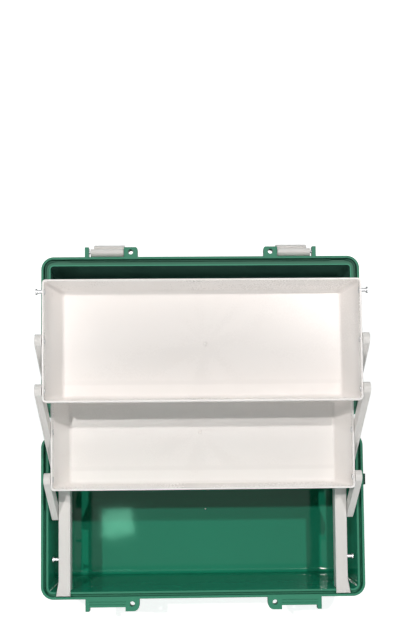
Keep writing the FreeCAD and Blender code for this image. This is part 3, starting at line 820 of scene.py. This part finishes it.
def number_mesh(label, height):
    """The outline of a number as a mesh 1 thick, its middle at x = 0 and its foot at y = 0."""
    curve = bpy.data.curves.new("number", "FONT")
    curve.body = label
    curve.size = height * TYPE_SIZE
    curve.align_x = "CENTER"
    curve.extrude = 0.5
    curve.resolution_u = 3
    holder = bpy.data.objects.new("number", curve)
    bpy.context.scene.collection.objects.link(holder)
    bpy.context.view_layer.update()
    evaluated = holder.evaluated_get(bpy.context.evaluated_depsgraph_get())
    data = bpy.data.meshes.new_from_object(evaluated)
    bpy.data.objects.remove(holder)
    bpy.data.curves.remove(curve)
    return data


class MakeScale(bpy.types.Operator):
    """Make the raised scale in the lid's shallow panel"""

    bl_idname = "tackle_box.make_scale"
    bl_label = "Make the scale"

    def execute(self, context):
        sizes = context.scene.tackle_marks
        panel_face = LID_TOP_SHUT - PANEL_SINK
        baseline = PANEL_BACK - BASELINE_INSET
        whole = sizes.scale_inches * sizes.inch
        start = -whole / 2
        mesh = bmesh.new()
        for step in range(sizes.scale_inches * EIGHTHS + 1):
            eighth = step % EIGHTHS
            length = LINE_LENGTHS.get(eighth, SHORT_LINE)
            width = sizes.mark_width * (INCH_LINE_WIDTH if eighth == 0 else 1.0)
            raise_rib(mesh, start + step * sizes.inch / EIGHTHS, baseline - length / 2, width, length,
                      panel_face, sizes.mark_height)
        raise_rib(mesh, 0.0, baseline, whole + sizes.mark_width, sizes.mark_width, panel_face,
                  sizes.mark_height)
        middle = panel_face + (sizes.mark_height - MARK_ROOT) / 2
        for number in range(1, sizes.scale_inches):
            data = number_mesh(str(number), sizes.digit_height)
            data.transform(Matrix.Diagonal((1.0, 1.0, sizes.mark_height, 1.0)))
            spot = (start + number * sizes.inch, baseline - NUMBER_DROP, middle)
            data.transform(Matrix.Translation(spot))
            mesh.from_mesh(data)
            bpy.data.meshes.remove(data)
        finish_piece("lid_scale", mesh, finish_named("green_plastic_lid"), "lid", laid_back())
        return {"FINISHED"}


# ---- gate marks ------------------------------------------------------------------------------
GATE_BODIES = {"tray_upper": "tray_upper", "tray_lower": "tray_lower", "base_tub": "base"}
RING_HEIGHT = 0.3 * MM
RING_LIFT = 0.1 * MM              # middles of the ring and dome above the floor
RING_TAPER = 0.86
DOME_RADIUS = 0.95 * MM
DOME_LIFT = 0.2 * MM
DOME_HEIGHT = 0.9                 # share of the radius


class MakeGateMarks(bpy.types.Operator):
    """Make the small moulding marks on the floors of the trays and the base"""

    bl_idname = "tackle_box.make_gate_marks"
    bl_label = "Make the gate marks"

    def execute(self, context):
        sizes = context.scene.tackle_marks
        for node, body in GATE_BODIES.items():
            x, y, floor = gate_place(node)
            mesh = bmesh.new()
            if node in TRAY_PAINTED_LIGHT_TONES:
                bmesh.ops.create_cone(mesh, cap_ends=True, segments=32, radius1=sizes.gate_radius,
                                      radius2=sizes.gate_radius * RING_TAPER, depth=RING_HEIGHT,
                                      matrix=Matrix.Translation((x, y, floor + RING_LIFT)))
            flattened = Matrix.Diagonal((1, 1, DOME_HEIGHT, 1))
            dome = Matrix.Translation((x, y, floor + DOME_LIFT)) @ flattened
            bmesh.ops.create_icosphere(mesh, subdivisions=3, radius=DOME_RADIUS, matrix=dome)
            # the pale dome, on the green base too, is partly a stress-whitened nub and partly a painted
            # highlight
            piece = finish_piece("gate_mark_" + body, mesh, finish_named("gate_plastic"), body)
            smooth(piece)
        return {"FINISHED"}


# ---- stage -----------------------------------------------------------------------------------
WARM = (1.0, 0.95, 0.93)                   # light of the lamps
GLINT = (0.33, 1.0, 0.68)                  # of the small lamp that the floor mirrors
COOL = (0.84, 0.97, 1.0, 1.0)              # from all round
WHITE = (1.0, 1.0, 1.0, 1.0)

BOX_MIDDLE = (0.0, 0.1, 0.1)               # where the lamps point
WINDOW_AIM = (-0.11, -0.02, 0.0)           # on the floor of the base

FLOOR_HALF = 4.0
FLOOR_FADE = (0.5, 1.4)                    # distances where the floor turns to plain white
FLOOR_SEEN = 0.72                          # its grey where the camera sees it
FLOOR_UNSEEN = 0.5                         # its grey for the light that it sends back to the box

SENSOR_WIDTH = 36.0
CAMERA_SHIFT = (-0.0040, 0.1340)
CAMERA_RANGE = (0.01, 20.0)
CAMERA_PLACE = (-13.05 * MM, 77.35 * MM, 1076.72 * MM)
CAMERA_TURN = (3.06, -1.09, -0.56)         # degrees away from straight down


def make_floor(settings):
    """A pale floor that fades to white away from the box and keeps the box's shadow."""
    mesh = bmesh.new()
    bmesh.ops.create_grid(mesh, x_segments=2, y_segments=2, size=FLOOR_HALF)
    data = bpy.data.meshes.new("floor")
    mesh.to_mesh(data)
    mesh.free()
    floor = bpy.data.objects.new("floor", data)
    bpy.context.scene.collection.objects.link(floor)
    finish = Finish("pale_floor")
    seen = finish.node("ShaderNodeLightPath", output="Is Camera Ray")
    far = finish.ramp(finish.vector_math("LENGTH", {0: finish.place()}, "Value"), *FLOOR_FADE)
    colour = finish.mix_colours(seen, (FLOOR_UNSEEN,) * 3, (FLOOR_SEEN,) * 3)
    lift = finish.mix_colours(far, (settings.floor_glow,) * 3, WHITE)
    glow = finish.mix_colours(seen, (0.0,) * 3, lift)
    material = finish.surface({"Base Color": colour, "Roughness": 0.9, "Emission Color": glow,
                               "Emission Strength": 1.0, "Specular IOR Level": 0.0})
    data.materials.append(material)


def make_lamp(shape, size, power, place, aim=BOX_MIDDLE, colour=WARM):
    """A lamp that points at a spot, upright as seen from it."""
    data = bpy.data.lights.new("lamp", "AREA")
    data.shape = shape
    data.size, data.size_y = size
    data.energy = power
    data.color = colour
    lamp = bpy.data.objects.new("lamp", data)
    bpy.context.scene.collection.objects.link(lamp)
    lamp.location = place
    way = Vector(aim) - Vector(place)
    lamp.rotation_euler = Vector((0.0, 0.0, -1.0)).rotation_difference(way).to_euler()
    return data


def make_lamps(settings):
    """Two small bright lamps overhead, a soft one in front and a narrow one for the mirrored patch."""
    round_face = (settings.lamp_size,) * 2
    make_lamp("DISK", round_face, settings.lamp_power, settings.left_lamp)
    make_lamp("DISK", round_face, settings.lamp_power * settings.right_share, settings.right_lamp)
    window = make_lamp("RECTANGLE", settings.window_size, settings.window_power, settings.window_place,
                       WINDOW_AIM, GLINT)
    window.spread = settings.window_spread
    make_lamp("RECTANGLE", settings.front_size, settings.front_power, settings.front_place)


def make_world(settings):
    """Light from all round, stronger from low down, and a white backdrop where it is seen or mirrored."""
    world = bpy.data.worlds.new("studio")
    bpy.context.scene.world = world
    wiring = Wiring(world)
    rise = wiring.parts(wiring.node("ShaderNodeTexCoord", output="Generated"))[2]
    low = wiring.larger(1 - rise, 0.0)
    strength = low * low * (settings.side_fill - settings.fill) + settings.fill
    lit = wiring.node("ShaderNodeBackground", {}, {"Color": COOL, "Strength": strength})
    backdrop = wiring.node("ShaderNodeBackground", {}, {"Color": WHITE, "Strength": 1.0})
    seen = wiring.node("ShaderNodeLightPath", output="Is Camera Ray")
    mirrored = wiring.node("ShaderNodeLightPath", output="Is Glossy Ray")
    clear = wiring.node("ShaderNodeLightPath", output="Is Transmission Ray")
    shown = wiring.larger(seen, wiring.larger(mirrored, clear))
    choice = wiring.node("ShaderNodeMixShader", {}, {0: shown, 1: lit, 2: backdrop})
    wiring.node("ShaderNodeOutputWorld", {}, {"Surface": choice})


def make_camera(settings):
    """The camera, high over the box."""
    data = bpy.data.cameras.new("camera")
    data.lens = settings.lens
    data.sensor_width = SENSOR_WIDTH
    data.shift_x, data.shift_y = CAMERA_SHIFT
    data.clip_start, data.clip_end = CAMERA_RANGE
    camera = bpy.data.objects.new("camera", data)
    bpy.context.scene.collection.objects.link(camera)
    camera.location = CAMERA_PLACE
    camera.rotation_mode = "ZXY"
    camera.rotation_euler = [math.radians(turn) for turn in CAMERA_TURN]
    bpy.context.scene.camera = camera


class SetStage(bpy.types.Operator):
    """Set the floor, lamps, world and camera"""

    bl_idname = "tackle_box.set_stage"
    bl_label = "Set the stage"

    def execute(self, context):
        settings = context.scene.tackle_stage
        context.scene.view_settings.view_transform = "Standard"
        make_floor(settings)
        make_lamps(settings)
        make_world(settings)
        make_camera(settings)
        return {"FINISHED"}


# ---- add-on ----------------------------------------------------------------------------------
STEPS = (FinishShells, FinishTrays, FinishPins, MakeHandle, MakeScale, MakeGateMarks, SetStage)
SETTINGS = {
    "tackle_finish": FinishSettings,
    "tackle_marks": MarkSettings,
    "tackle_handle": HandleSettings,
    "tackle_stage": StageSettings,
}


class TackleBoxPanel(bpy.types.Panel):
    """Lists the steps and sizes of the tackle box"""

    bl_idname = "VIEW3D_PT_tackle_box"
    bl_label = "Tackle box"
    bl_space_type = "VIEW_3D"
    bl_region_type = "UI"
    bl_category = "Tackle box"

    def draw(self, context):
        layout = self.layout
        for operator in STEPS:
            layout.operator(operator.bl_idname)
        for name in SETTINGS:
            group = getattr(context.scene, name)
            for key in group.__annotations__:
                layout.prop(group, key)


def register():
    for group in SETTINGS.values():
        bpy.utils.register_class(group)
    for operator in STEPS:
        bpy.utils.register_class(operator)
    bpy.utils.register_class(TackleBoxPanel)
    for name, group in SETTINGS.items():
        setattr(bpy.types.Scene, name, PointerProperty(type=group))


def unregister():
    for name in SETTINGS:
        delattr(bpy.types.Scene, name)
    bpy.utils.unregister_class(TackleBoxPanel)
    for operator in reversed(STEPS):
        bpy.utils.unregister_class(operator)
    for group in reversed(list(SETTINGS.values())):
        bpy.utils.unregister_class(group)


def main():
    register()
    for operator in STEPS:
        prefix, name = operator.bl_idname.split(".")
        getattr(getattr(bpy.ops, prefix), name)()


if __name__ == "__main__":
    main()
